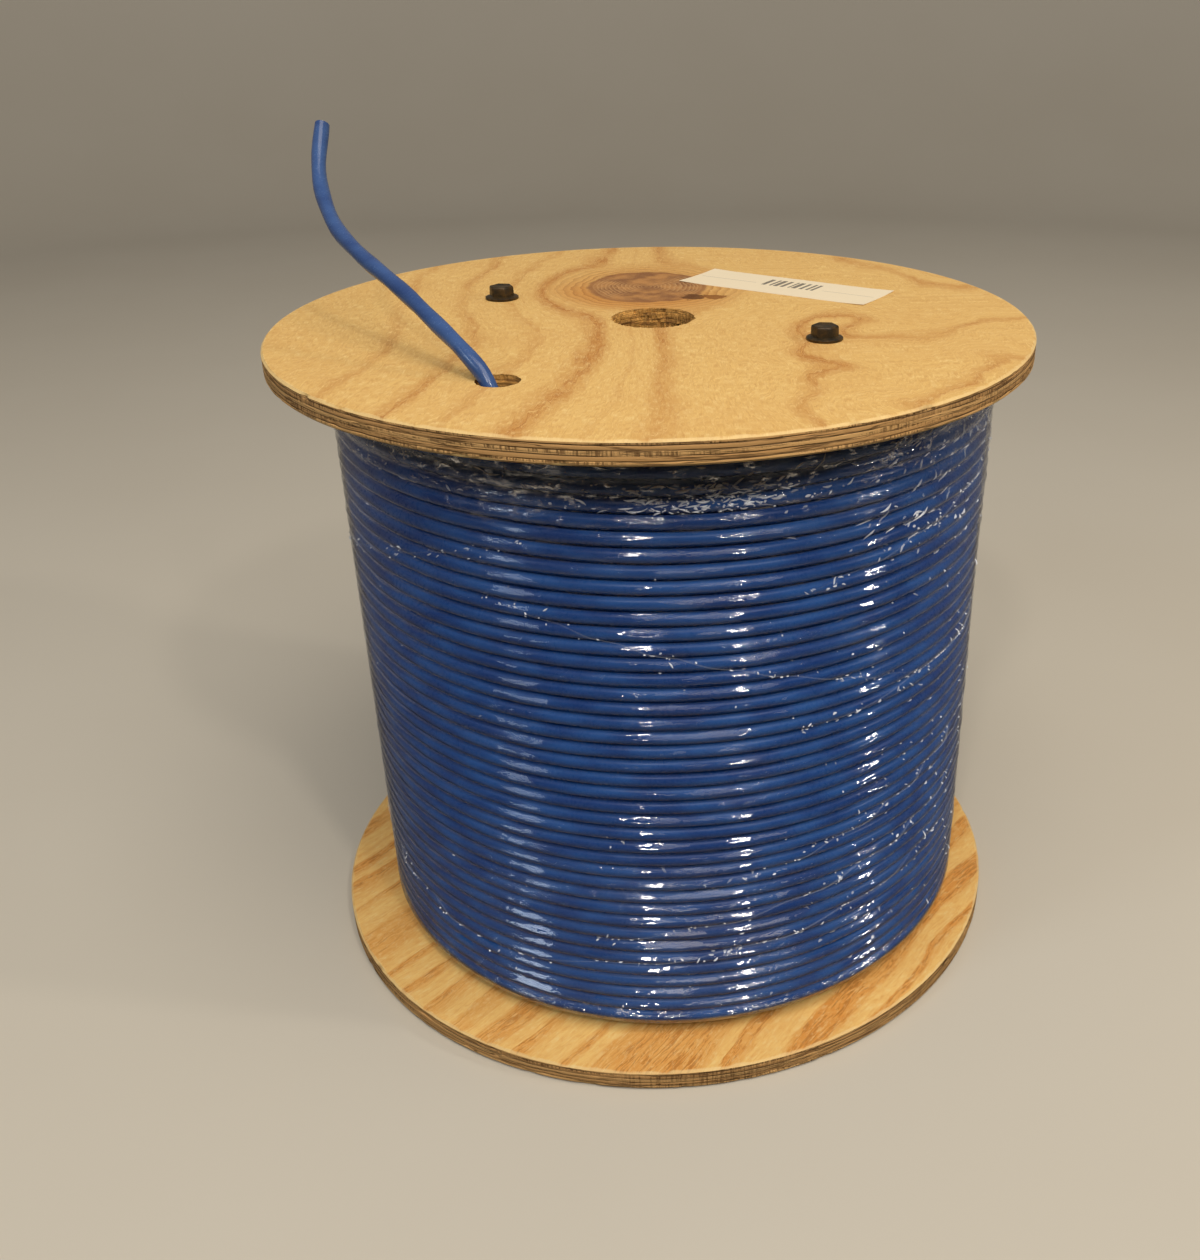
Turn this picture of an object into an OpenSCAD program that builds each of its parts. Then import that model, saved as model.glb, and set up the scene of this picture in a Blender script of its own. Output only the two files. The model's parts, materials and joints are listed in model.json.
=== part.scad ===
// Plywood cable drum, loaded and film wrapped, standing on its bottom flange.
// Millimetres. The origin is the centre of the bottom flange's outer face, +Z up along the drum's axis.

/* [Flanges] */
// Diameter of both plywood flanges
flange_d = 305; // [280:1:360]
// Thickness of the plywood
flange_t = 8.7; // [8:0.1:15]
// Clear width between the two flanges
traverse = 250; // [180:1:320]
// Chamfer left by sanding the flange's edges
rim_chamfer = 0.8; // [0.3:0.1:1.5]
// Diameter of the arbor hole, for the shaft that the drum turns on
arbor_d = 32; // [20:1:50]

/* [Barrel] */
// Outside diameter of the tube that the cable is wound on
barrel_d = 178; // [140:1:200]
// Wall of the tube
barrel_wall = 6; // [3:0.5:10]
// Depth of the groove that seats the tube in each flange
groove_depth = 3; // [1.5:0.5:4]

/* [Cable] */
// Diameter of the cable
cable_d = 5.9; // [4:0.1:9]
// Depth of the wound cable on the tube, all its layers together
winding_depth = 44.2; // [30:0.1:50]
// Depth of the valley between two turns
valley_depth = 1.8; // [0.8:0.1:2]
// Diameter of the hole that the cable's inner end comes out of
start_hole_d = 16; // [12:0.5:20]
// Wood left between the start hole and the tube's outside
start_hole_land = 5; // [2:0.5:10]
// Bearing of the start hole round the axis
start_hole_angle = 238; // [200:1:280]

/* [Stretch film] */
// Thickness of the wrapped film, all its layers together
film_t = 0.4; // [0.2:0.1:0.8]
// Diameter of the rolled rim at the film's lower edge
film_rim_d = 2.4; // [2:0.1:3]

/* [Tie bolts] */
// Diameter of the bolt's shank
bolt_d = 6.35; // [5:0.05:8]
// Width across the flats of the bolt's head
head_flats = 9.5; // [8:0.1:13]
// Height of the bolt's head, with its flange
head_h = 5.6; // [4:0.1:8]
// Diameter of the flange under the head
head_flange_d = 14.2; // [12:0.1:20]
// Thickness of that flange at its rim
head_flange_t = 1; // [0.6:0.1:2]
// Gap between the shank and the inside of the tube
bolt_to_tube = 3.8; // [2:0.1:8]
// Bearing of the first bolt, the second is opposite
bolt_angle = 149; // [120:1:180]

/* [Tee nuts] */
// Diameter of the tee nut's plate
tee_plate_d = 19; // [16:0.5:24]
// Thickness of the tee nut's plate
tee_plate_t = 1.4; // [1:0.1:2]
// Outside diameter of the tee nut's sleeve
tee_sleeve_d = 8.4; // [8:0.1:10]
// Length of the sleeve above the plate
tee_sleeve_h = 6; // [4:0.1:6.4]
// How far the plate is let in below the flange's face
tee_set_in = 0.6; // [0.2:0.1:1]

/* [Label] */
// Length of the paper label
label_l = 93; // [60:1:100]
// Width of the paper label
label_w = 31; // [20:1:40]
// Thickness of the paper label
label_t = 0.2; // [0.1:0.05:0.4]
// Distance of the label's centre from the axis
label_r = 80; // [70:1:90]
// Bearing of the label's centre round the axis
label_bearing = 42.3; // [30:0.1:60]
// Turn of the label's long side from +X
label_turn = -34.8; // [-60:0.1:0]

/* [Clearances] */
// Play between the tube and its groove, each side
groove_play = 0.2; // [0.1:0.05:0.4]
// Play between the winding and the tube
winding_play = 0.3; // [0.1:0.05:0.5]
// Gap between the winding's top and the top flange
winding_headroom = 0.5; // [0.2:0.1:1]
// Play of the shank in the top flange's hole, each side
bolt_play = 0.4; // [0.2:0.05:0.6]
// Play between the shank and the tee nut's thread, each side
thread_play = 0.1; // [0.05:0.05:0.2]
// Play of the tee nut in the bottom flange, each side
tee_play = 0.2; // [0.1:0.05:0.4]
// Gap between the film and what it wraps or faces
film_gap = 0.3; // [0.2:0.1:0.5]

/* [Hidden] */
$fn = 96;

flange_r = flange_d / 2;
drum_h = traverse + 2 * flange_t;
top_inner_z = flange_t + traverse;
barrel_r = barrel_d / 2;
winding_inner_r = barrel_r + winding_play;
winding_r = winding_inner_r + winding_depth;
winding_h = traverse - winding_headroom;
turns = floor(winding_h / cable_d);
turn_pitch = winding_h / turns;
// The layers lie in each other's valleys, so a layer adds less than a whole cable.
layer_step = cable_d * sin(60);
film_r = winding_r + film_gap;
start_hole_r = barrel_r + start_hole_land + start_hole_d / 2;
start_hole_xy = [start_hole_r * cos(start_hole_angle), start_hole_r * sin(start_hole_angle)];
bolt_circle_r = barrel_r - barrel_wall - bolt_to_tube - bolt_d / 2;
tee_recess = tee_set_in + tee_plate_t;
// The flange of the bolt's head rises at this slope until it meets the hexagon's flats.
head_flange_slope = 25;
head_cone_h = head_flange_t + (head_flange_d - head_flats) / 2 * tan(head_flange_slope);
// Ends of a boolean cut reach this far past the faces they cut.
past = 1;

// The tail's route, from the centre of the start hole in the top face. It starts on the winding's top.
tail_start_z = -flange_t - winding_headroom;
tail_route = [[0, -4.5, tail_start_z], [-4, -1, 1], [-9, 5, 9], [-20, 18, 17], [-37, 36, 24], [-54, 54, 30],
              [-66, 71, 38], [-73, 87, 48], [-76, 99, 59], [-75, 110, 73]];
tail_sides = 10;
tail_steps = 2;

// Points of a smooth curve through the route, tail_steps of them for each leg.
function route_at(i) = tail_route[max(0, min(len(tail_route) - 1, i))];
function curve_at(a, b, c, d, t) =
    0.5 * (2 * b + (c - a) * t + (2 * a - 5 * b + 4 * c - d) * t * t + (3 * b - a - 3 * c + d) * t * t * t);
tail_curve = [for (i = [0 : len(tail_route) - 2])
                  for (k = [0 : tail_steps - 1])
                      curve_at(route_at(i - 1), route_at(i), route_at(i + 1), route_at(i + 2), k / tail_steps),
              tail_route[len(tail_route) - 1]];

// A ring of points round the curve's point i, square to the curve there.
function unit(v) = v / norm(v);
function heading(i) = i == 0 ? [0, 0, 1]
    : unit(tail_curve[min(len(tail_curve) - 1, i + 1)] - tail_curve[i - 1]);
function ring(i) = let (along = heading(i), side = unit(cross(along, [1, 1, 0])), up = cross(side, along))
    [for (k = [0 : tail_sides - 1])
        tail_curve[i] + cable_d / 2 * (cos(360 * k / tail_sides) * side + sin(360 * k / tail_sides) * up)];

// A flange's blank: the disc with its sanded edges, the arbor hole and the tube's groove in its inner face.
// It lies with its outer face at z = 0 and its inner face up.
module flange_blank() {
    difference() {
        rotate_extrude()
            polygon([[arbor_d / 2, 0], [flange_r - rim_chamfer, 0], [flange_r, rim_chamfer],
                     [flange_r, flange_t - rim_chamfer], [flange_r - rim_chamfer, flange_t], [arbor_d / 2, flange_t]]);
        translate([0, 0, flange_t - groove_depth])
            difference() {
                cylinder(h = groove_depth + past, r = barrel_r + groove_play);
                translate([0, 0, -past])
                    cylinder(h = groove_depth + 3 * past, r = barrel_r - barrel_wall - groove_play);
            }
    }
}

// Puts its children on the axis of bolt i, 0 or 1.
module at_bolt(i) {
    rotate([0, 0, bolt_angle + 180 * i])
        translate([bolt_circle_r, 0, 0])
            children();
}

module top_flange() {
    color("burlywood")
        difference() {
            translate([0, 0, drum_h])
                mirror([0, 0, 1])
                    flange_blank();
            for (i = [0, 1])
                at_bolt(i)
                    translate([0, 0, top_inner_z - past])
                        cylinder(h = flange_t + 2 * past, d = bolt_d + 2 * bolt_play);
            translate([start_hole_xy.x, start_hole_xy.y, top_inner_z - past])
                cylinder(h = flange_t + 2 * past, d = start_hole_d);
        }
}

module bottom_flange() {
    color("burlywood")
        difference() {
            flange_blank();
            for (i = [0, 1])
                at_bolt(i) {
                    translate([0, 0, -past])
                        cylinder(h = flange_t + 2 * past, d = tee_sleeve_d + 2 * tee_play);
                    translate([0, 0, -past])
                        cylinder(h = tee_recess + past, d = tee_plate_d + 2 * tee_play);
                }
        }
}

module barrel() {
    color("peru")
        translate([0, 0, flange_t - groove_depth])
            difference() {
                cylinder(h = traverse + 2 * groove_depth, r = barrel_r);
                translate([0, 0, -past])
                    cylinder(h = traverse + 2 * groove_depth + 2 * past, r = barrel_r - barrel_wall);
            }
}

// The wound cable, turned from one outline: its outermost layer is a row of turns, which stops one turn
// short of the bottom flange, so that the layer below shows there.
module cable_winding() {
    function layer_r(i) = i == 0 ? winding_r - layer_step : winding_r;
    color("royalblue")
        translate([0, 0, flange_t])
            rotate_extrude()
                union() {
                    translate([winding_inner_r, 0])
                        square([layer_r(0) - valley_depth - winding_inner_r, winding_h]);
                    translate([winding_inner_r, turn_pitch])
                        square([layer_r(1) - valley_depth - winding_inner_r, winding_h - turn_pitch]);
                    for (i = [0 : turns - 1])
                        translate([layer_r(i) - cable_d / 2, (i + 0.5) * turn_pitch])
                            circle(d = cable_d);
                }
}

// The film is a sleeve over the winding, rolled into a rim where the outermost layer of turns stops.
module stretch_film() {
    rim_z = flange_t + turn_pitch;
    color("gainsboro", 0.4)
        rotate_extrude()
            union() {
                translate([film_r, rim_z])
                    square([film_t, top_inner_z - film_gap - rim_z]);
                translate([film_r + film_t / 2, rim_z])
                    circle(d = film_rim_d);
            }
}

// Hexagon bolt with a flange under its head, from the tee nut up to the top flange.
module tie_bolt(i) {
    color("darkslategray")
        at_bolt(i) {
            translate([0, 0, tee_set_in])
                cylinder(h = drum_h - tee_set_in, d = bolt_d);
            translate([0, 0, drum_h]) {
                cylinder(h = head_flange_t, d = head_flange_d);
                translate([0, 0, head_flange_t])
                    cylinder(h = head_cone_h - head_flange_t, d1 = head_flange_d, d2 = head_flats);
                intersection() {
                    cylinder(h = head_h, d = head_flats / cos(30), $fn = 6);
                    cylinder(h = head_h, d1 = head_flats + 2 * head_h, d2 = head_flats);
                }
            }
        }
}

module tee_nut(i) {
    color("silver")
        at_bolt(i)
            translate([0, 0, tee_set_in])
                difference() {
                    union() {
                        cylinder(h = tee_plate_t, d = tee_plate_d);
                        cylinder(h = tee_plate_t + tee_sleeve_h, d = tee_sleeve_d);
                    }
                    translate([0, 0, -past])
                        cylinder(h = tee_plate_t + tee_sleeve_h + 2 * past, d = bolt_d + 2 * thread_play);
                }
}

module label() {
    color("white")
        translate([label_r * cos(label_bearing), label_r * sin(label_bearing), drum_h])
            rotate([0, 0, label_turn])
                linear_extrude(label_t)
                    square([label_l, label_w], center = true);
}

// The cable's free inner end, swept along its route out of the start hole.
module cable_tail() {
    last = len(tail_curve) - 1;
    n = tail_sides;
    color("cornflowerblue")
        translate([start_hole_xy.x, start_hole_xy.y, drum_h])
            polyhedron(
                points = [for (i = [0 : last]) each ring(i)],
                faces = [[for (k = [0 : n - 1]) k],
                         for (i = [0 : last - 1])
                             for (k = [0 : n - 1])
                                 each let (a = i * n + k, b = i * n + (k + 1) % n)
                                     [[a, a + n, b + n], [a, b + n, b]],
                         [for (k = [n - 1 : -1 : 0]) last * n + k]]);
}

top_flange();
bottom_flange();
barrel();
cable_winding();
stretch_film();
tie_bolt(0);  // tie_bolt_1
tie_bolt(1);  // tie_bolt_2
tee_nut(0);  // tee_nut_1
tee_nut(1);  // tee_nut_2
label();
cable_tail();
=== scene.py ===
# %% [markdown]
# # A plywood cable drum, loaded and wrapped
# A cable drum is two round plywood flanges on a tube, pulled together by two bolts.
# This one holds a few hundred metres of blue data cable, kept in place by clear stretch film.
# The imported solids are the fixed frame: they give each size and place, and the lesson dresses them.

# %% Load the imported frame
import json
import math
import random

import bmesh
import bpy
from mathutils import Matrix, Vector, noise


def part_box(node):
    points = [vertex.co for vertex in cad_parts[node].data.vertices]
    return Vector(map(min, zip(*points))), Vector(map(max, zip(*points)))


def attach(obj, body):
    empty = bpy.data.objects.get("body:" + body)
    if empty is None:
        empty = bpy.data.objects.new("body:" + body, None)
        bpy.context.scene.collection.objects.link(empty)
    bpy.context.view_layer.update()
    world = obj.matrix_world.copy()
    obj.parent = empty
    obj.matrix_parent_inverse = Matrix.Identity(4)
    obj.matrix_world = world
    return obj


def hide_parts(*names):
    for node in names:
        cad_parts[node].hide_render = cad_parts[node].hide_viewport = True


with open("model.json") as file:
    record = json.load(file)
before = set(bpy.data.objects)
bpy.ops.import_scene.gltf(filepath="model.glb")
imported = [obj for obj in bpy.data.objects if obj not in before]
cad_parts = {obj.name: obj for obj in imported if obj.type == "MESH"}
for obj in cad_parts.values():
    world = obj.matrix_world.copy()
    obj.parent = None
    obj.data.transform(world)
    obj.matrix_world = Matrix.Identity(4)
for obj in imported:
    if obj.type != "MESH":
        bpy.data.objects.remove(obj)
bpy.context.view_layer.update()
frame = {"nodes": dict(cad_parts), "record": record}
scene = bpy.context.scene
print("nodes in the frame:", ", ".join(sorted(frame["nodes"])))

# %% [markdown]
# ## Sizes
# Every size that the solids already know is read back from them, in metres.
# Typing the numbers again would work too, but then two files could disagree.

# %% Read the sizes back
MM = 0.001
under_top, top_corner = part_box("top_flange")
flange_r = top_corner.x
flange_t = top_corner.z - under_top.z
top_z = top_corner.z
bottom_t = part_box("bottom_flange")[1].z
tube_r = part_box("barrel")[1].x
winding_low, winding_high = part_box("cable_winding")
winding_r = winding_high.x
arbor_r = frame["record"]["mounts"][0]["dims"]["r_mm"] * MM
print("flange", round(flange_r / MM, 1), "mm, winding", round(winding_r / MM, 1), "mm in radius")

# %% [markdown]
# ## Helpers for pieces
# Each piece starts as a bmesh, so one helper turns a bmesh into an object and smooths it, with its
# real corners kept sharp. A second helper hangs the piece on the frame and gives it its finish.
# Three more pick the points, edges or faces out of what an operator hands back.

# %% Helpers for a piece
def make_piece(name, bm, sharp=40):
    mesh = bpy.data.meshes.new(name)
    bm.to_mesh(mesh)
    bm.free()
    mesh.shade_smooth()
    mesh.set_sharp_from_angle(angle=math.radians(sharp))
    piece = bpy.data.objects.new(name, mesh)
    scene.collection.objects.link(piece)
    print(name, "has", len(mesh.polygons), "faces")
    return piece


def verts_in(geom):
    return [g for g in geom if isinstance(g, bmesh.types.BMVert)]


def edges_in(geom):
    return [g for g in geom if isinstance(g, bmesh.types.BMEdge)]


def faces_in(geom):
    return [g for g in geom if isinstance(g, bmesh.types.BMFace)]


def dress(piece, finishes, stands_for=()):
    for finish in finishes:
        piece.data.materials.append(finish)
    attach(piece, "root")
    if stands_for:
        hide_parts(*stands_for)


# %% [markdown]
# ## Helpers for finishes
# A finish is a chain of shader nodes. Adding nodes by hand takes many lines, so `add` makes one node,
# sets its choices and wires its sockets, and a few short names stand for the nodes that are used most.
# All of them work on the finish that lies on the bench. `new_finish` lays one there and hands it back
# together with `place`, which is where a spot lies on the object, in millimetres.
# Tones are written as 0 to 255 as they are read off a screen, and turned into linear light.

# %% Helpers for node chains
bench = {}
SOCKETS = {"colour": "Base Color", "rough": "Roughness", "gloss": "Specular IOR Level", "metal": "Metallic"}


def tone(red, green, blue):
    def linear(v):
        v = v / 255
        return v / 12.92 if v <= 0.04045 else ((v + 0.055) / 1.055) ** 2.4
    return (linear(red), linear(green), linear(blue), 1.0)


def new_finish(name):
    finish = bpy.data.materials.new(name)
    finish.use_nodes = True
    bench["tree"] = finish.node_tree
    bench["shader"] = finish.node_tree.nodes["Principled BSDF"]
    return finish, stretch(add("TexCoord", {}, out="Object"), (1000, 1000, 1000))


def plug(socket, source):
    if isinstance(source, bpy.types.NodeSocket):
        bench["tree"].links.new(source, socket)
    else:
        socket.default_value = source


def paint(**coats):
    for name, coat in coats.items():
        plug(bench["shader"].inputs[SOCKETS[name]], coat)


def add(kind, wires, out=0, **choices):
    node = bench["tree"].nodes.new("ShaderNode" + kind)
    for name, choice in choices.items():
        setattr(node, name, choice)
    for socket, source in wires.items():
        plug(node.inputs[socket], source)
    return node.outputs[out]


def let_through(share):
    clear = add("BsdfTransparent", {})
    mixed = add("MixShader", {0: share, 1: clear, 2: bench["shader"].outputs[0]})
    plug(bench["tree"].nodes["Material Output"].inputs["Surface"], mixed)


# %% Short names for sums
def calc(sort, a, b=0.0, c=0.0):
    return add("Math", {0: a, 1: b, 2: c}, operation=sort)


def times(a, b):
    return calc("MULTIPLY", a, b)


def plus(a, b):
    return calc("ADD", a, b)


def less(a, b):
    return calc("SUBTRACT", a, b)


def times_plus(a, b, c):
    return calc("MULTIPLY_ADD", a, b, c)


def larger(a, b):
    return calc("MAXIMUM", a, b)


def size_of(a):
    return calc("ABSOLUTE", a)


def axis_of(place, axis):
    return add("SeparateXYZ", {0: place}, out=axis)


def stretch(place, scale):
    return add("VectorMath", {0: place, 1: scale}, operation="MULTIPLY")


def reach_of(place):
    return add("VectorMath", {0: place}, out=1, operation="LENGTH")


# %% Short names for patterns
def ease(value, start, end, low=0.0, high=1.0):
    wires = {"Value": value, "From Min": start, "From Max": end, "To Min": low, "To Max": high}
    return add("MapRange", wires, interpolation_type="SMOOTHSTEP")


def grain(place, scale, detail=2.0, rough=0.5):
    wires = {"Vector": stretch(place, scale), "Scale": 1.0, "Detail": detail, "Roughness": rough}
    return add("TexNoise", wires)


def blend(amount, first, second):
    return add("Mix", {0: amount, 6: first, 7: second}, out=2, data_type="RGBA")


def stepped(value, stops):
    node = bench["tree"].nodes.new("ShaderNodeValToRGB")
    plug(node.inputs[0], value)
    ladder = node.color_ramp.elements
    while len(ladder) < len(stops):
        ladder.new(0.5)
    for rung, (spot, grey) in zip(ladder, stops):
        rung.position = spot
        rung.color = (grey, grey, grey, 1)
    return node.outputs[0]


def raise_bump(height, depth, strength):
    bump = add("Bump", {"Height": height, "Distance": depth, "Strength": strength})
    plug(bench["shader"].inputs["Normal"], bump)


print("a finish has the sockets", ", ".join(SOCKETS))

# %% [markdown]
# ## Camera
# The drum was photographed from a little above, close enough that the lower flange looks smaller.
# The lens and the tilt come from a fit of both flange edges, in a picture of 1200 by 1260 dots.
# The shift moves the view sideways without turning it, because the picture was cropped.

# %% Set the camera
photo_w, photo_h = 1200, 1260
focal, axis_x, axis_y = 1259.2, 720, 597.1
eye = Vector((0, -0.5121, 0.3910))
yaw, pitch, roll = 0.0521, 0.4558, -0.0046
look = Vector((math.sin(yaw) * math.cos(pitch), math.cos(yaw) * math.cos(pitch), -math.sin(pitch)))
side = Vector((math.cos(yaw), -math.sin(yaw), 0))
rise = side.cross(look)
right = side * math.cos(roll) + rise * math.sin(roll)
upward = rise * math.cos(roll) - side * math.sin(roll)
lens = bpy.data.cameras.new("camera")
lens.sensor_width = 36
lens.lens = focal * lens.sensor_width / photo_h
lens.shift_x = (photo_w / 2 - axis_x) / photo_h
lens.shift_y = (axis_y - photo_h / 2) / photo_h
lens.clip_start = 0.01
camera = bpy.data.objects.new("camera", lens)
camera.matrix_world = Matrix.Translation(eye) @ Matrix((right, upward, -look)).transposed().to_4x4()
scene.collection.objects.link(camera)
scene.camera = camera
print("camera", round(eye.length, 3), "m from the foot, lens", round(lens.lens, 1), "mm")

# %% [markdown]
# ## Stage and light
# A pale floor runs up into a round wall, so no corner shows from any side.
# One large soft lamp lights the top. A wide one at the left draws the soft streak on the turns, and
# three small ones draw columns of glints, because shiny film shows a lamp only where it faces it.

# %% Build the stage
floor_r, bend_r, wall_h, bends = 1.9, 0.7, 1.2, 12
bm = bmesh.new()
bmesh.ops.create_circle(bm, cap_ends=True, radius=floor_r, segments=96)
rim = [e for e in bm.edges if e.is_boundary]
for step in range(1, bends + 1):
    turn = step / bends * math.pi / 2
    grown = bmesh.ops.extrude_edge_only(bm, edges=rim)["geom"]
    rim = edges_in(grown)
    reach = floor_r + bend_r * math.sin(turn)
    for v in verts_in(grown):
        flat = v.co.xy.normalized() * reach
        v.co = (flat.x, flat.y, bend_r * (1 - math.cos(turn)))
up_wall = bmesh.ops.extrude_edge_only(bm, edges=rim)["geom"]
bmesh.ops.translate(bm, verts=verts_in(up_wall), vec=(0, 0, wall_h))
bmesh.ops.translate(bm, verts=bm.verts, vec=(0, 0, -0.0004))
bmesh.ops.recalc_face_normals(bm, faces=bm.faces)
stage = make_piece("stage", bm)

# %% Give the stage its paint
stage_paint, place = new_finish("stage_paint")
rays = [add("LightPath", {}, out=f"Is {sort} Ray") for sort in ("Camera", "Glossy", "Transmission")]
seen = larger(larger(rays[0], rays[1]), rays[2])
mottle = grain(place, (0.004, 0.004, 0.004), 3.0)
pale = blend(mottle, tone(208, 199, 183), tone(214, 206, 191))
wall = ease(axis_of(place, 2), 60.0, 900.0)
pale = blend(wall, pale, tone(246, 238, 224))
paint(colour=blend(seen, tone(88, 82, 74), pale), rough=0.9, gloss=0.1)
stage.data.materials.append(stage_paint)

world = bpy.data.worlds.new("studio")
scene.world = world
world.use_nodes = True
world.node_tree.nodes["Background"].inputs["Color"].default_value = (1.0, 0.95, 0.88, 1)
world.node_tree.nodes["Background"].inputs["Strength"].default_value = 0.34
print("stage painted")


# %% Hang the lamps
def hang_lamp(name, bearing, height, distance, width, tall, watts, warmth=(1.0, 0.94, 0.85)):
    b, h = math.radians(bearing), math.radians(height)
    spot = Vector((math.sin(b) * math.cos(h), -math.cos(b) * math.cos(h), math.sin(h))) * distance
    bulb = bpy.data.lights.new(name, "AREA")
    bulb.shape = "RECTANGLE"
    bulb.size = width
    bulb.size_y = tall
    bulb.energy = watts
    bulb.color = warmth
    lamp = bpy.data.objects.new(name, bulb)
    lamp.location = spot + Vector((0, 0, 0.15))
    lamp.rotation_euler = (-spot).to_track_quat("-Z", "Y").to_euler()
    lamp.visible_camera = False
    scene.collection.objects.link(lamp)


hang_lamp("softbox", 20, 64, 2.0, 1.4, 1.4, 20)
hang_lamp("wide_left", -58, 37, 1.7, 0.34, 0.40, 3.0, (0.72, 0.85, 1.0))
hang_lamp("glint_left", -12, 44, 1.7, 0.10, 0.12, 3.6)
hang_lamp("glint_middle", 26, 43, 1.7, 0.10, 0.12, 3.6)
hang_lamp("glint_right", 74, 30, 1.7, 0.10, 0.12, 3.6)
scene.view_settings.view_transform = "Standard"

# %% [markdown]
# ## The cable's jacket
# The jacket is smooth blue vinyl. It is a little cloudy and scuffed from being pulled over the turns
# below, so the blue wavers slightly and the gloss is uneven. Fine noise gives both.

# %% Mix the jacket finish
def jacket_finish(name, deep, bright, shine, gloss):
    finish, place = new_finish(name)
    paint(gloss=gloss)
    cloud = grain(place, (0.05, 0.05, 0.16), 3.0)
    scuff = grain(place, (0.9, 0.9, 0.9), 4.0, 0.6)
    blue = blend(ease(cloud, 0.3, 0.7), deep, bright)
    worn = ease(scuff, 0.62, 0.8, 0.0, 0.25)
    paint(colour=blend(worn, blue, tone(120, 150, 205)), rough=ease(scuff, 0.3, 0.8, shine, shine + 0.18))
    raise_bump(grain(place, (1.4, 1.4, 1.4), 3.0), 0.00006, 0.6)
    return finish


tail_jacket = jacket_finish("tail_jacket", tone(40, 69, 124), tone(61, 93, 148), 0.16, 0.5)
# The turns get a darker, more saturated copy of the same cable's blue than the free end: painted shade.
shaded_turn_jacket = jacket_finish("shaded_turn_jacket", tone(24, 61, 125), tone(41, 87, 153), 0.24, 0.2)
print("jackets:", tail_jacket.name, shaded_turn_jacket.name)

# %% [markdown]
# ## The free end of the cable
# The inner end comes up through the start hole, so that the cable can be tested on the drum.
# It is stiff enough to stand in the bend it was given. A bevelled curve would do, but a tube that is
# extruded ring by ring can also show the twisted pairs inside as a faint spiral under the jacket.

# %% Lay out the route of the free end
cable_d = 5.9 * MM
start_hole = Vector((-54.05, -86.50, top_z / MM)) * MM
start_hole_r = 8.0 * MM
stops = [(0, -4.5, -9.2), (-3.7, -1, 0.4), (-10, 5, 7.4), (-21.4, 18, 15), (-36.5, 36, 24),
         (-52, 54, 31.6), (-64.4, 71, 39.2), (-72, 87, 49), (-75, 99, 59.8), (-74.2, 110, 73)]
stops = [start_hole + Vector(p) * MM for p in stops]


def smooth_route(points, cuts):
    ends = [points[0] * 2 - points[1]] + points + [points[-1] * 2 - points[-2]]
    route = []
    for a, b, c, d in zip(ends, ends[1:], ends[2:], ends[3:]):
        for cut in range(cuts):
            t = cut / cuts
            route.append(0.5 * (2 * b + (c - a) * t + (2 * a - 5 * b + 4 * c - d) * t * t
                                + (3 * b - 3 * c + d - a) * t * t * t))
    return route + [points[-1]]


route = smooth_route(stops, 4)

# %% Extrude the free end ring by ring
ring_points = 20
bm = bmesh.new()
bmesh.ops.create_circle(bm, cap_ends=False, radius=cable_d / 2, segments=ring_points)
loop = list(bm.edges)
ways = [(b - a).normalized() for a, b in zip(route, route[1:])]
facing = ways[0].to_track_quat("Z", "Y").to_matrix()
spots = []
for number, point in enumerate(route):
    if number:
        grown = bmesh.ops.extrude_edge_only(bm, edges=loop)["geom"]
        loop = edges_in(grown)
        ringed = verts_in(grown)
        way = ways[min(number, len(ways) - 1)]
        if number < len(ways):
            way = (ways[number - 1] + ways[number]).normalized()
        turn = facing.col[2].rotation_difference(way).to_matrix()
        stand = Matrix.Translation(point) @ turn.to_4x4() @ Matrix.Translation(-route[number - 1])
        bmesh.ops.transform(bm, matrix=stand, verts=ringed)
        facing = turn @ facing
    else:
        ringed = list(bm.verts)
        bmesh.ops.transform(bm, matrix=Matrix.Translation(point) @ facing.to_4x4(), verts=ringed)
    spots.append((point, facing.copy(), ringed))
tip_point, tip_facing = spots[-1][:2]
bmesh.ops.edgeloop_fill(bm, edges=loop)
tip_cap = [f for f in bm.faces if len(f.verts) == ring_points][0]
bmesh.ops.edgeloop_fill(bm, edges=[e for e in bm.edges if e.is_boundary])
bmesh.ops.inset_individual(bm, faces=[tip_cap], thickness=0.55 * MM, depth=-0.7 * MM)
print("tube of", len(bm.faces), "faces")

# %% Press the twisted pairs through the jacket
pair_twist = 46 * MM
travelled = 0.0
for number, (point, facing, ringed) in enumerate(spots):
    travelled += (point - route[max(number - 1, 0)]).length
    for v in ringed:
        away = facing.transposed() @ (v.co - point)
        angle = math.atan2(away.y, away.x)
        press = 0.05 * math.cos(2 * (angle - travelled * math.tau / pair_twist)) - 0.02
        v.co += (v.co - point) * press
bmesh.ops.recalc_face_normals(bm, faces=bm.faces)
tail = make_piece("free_end", bm, 50)
dress(tail, [tail_jacket], ["cable_tail"])

# %% [markdown]
# The cut end shows what a data cable is: four pairs of thin copper wires in coloured insulation.
# One wire is a short cylinder, and its copper core is inset in its end and drawn out a little.
# The colour of each wire is kept in a face attribute, so one finish serves all eight.

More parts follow.
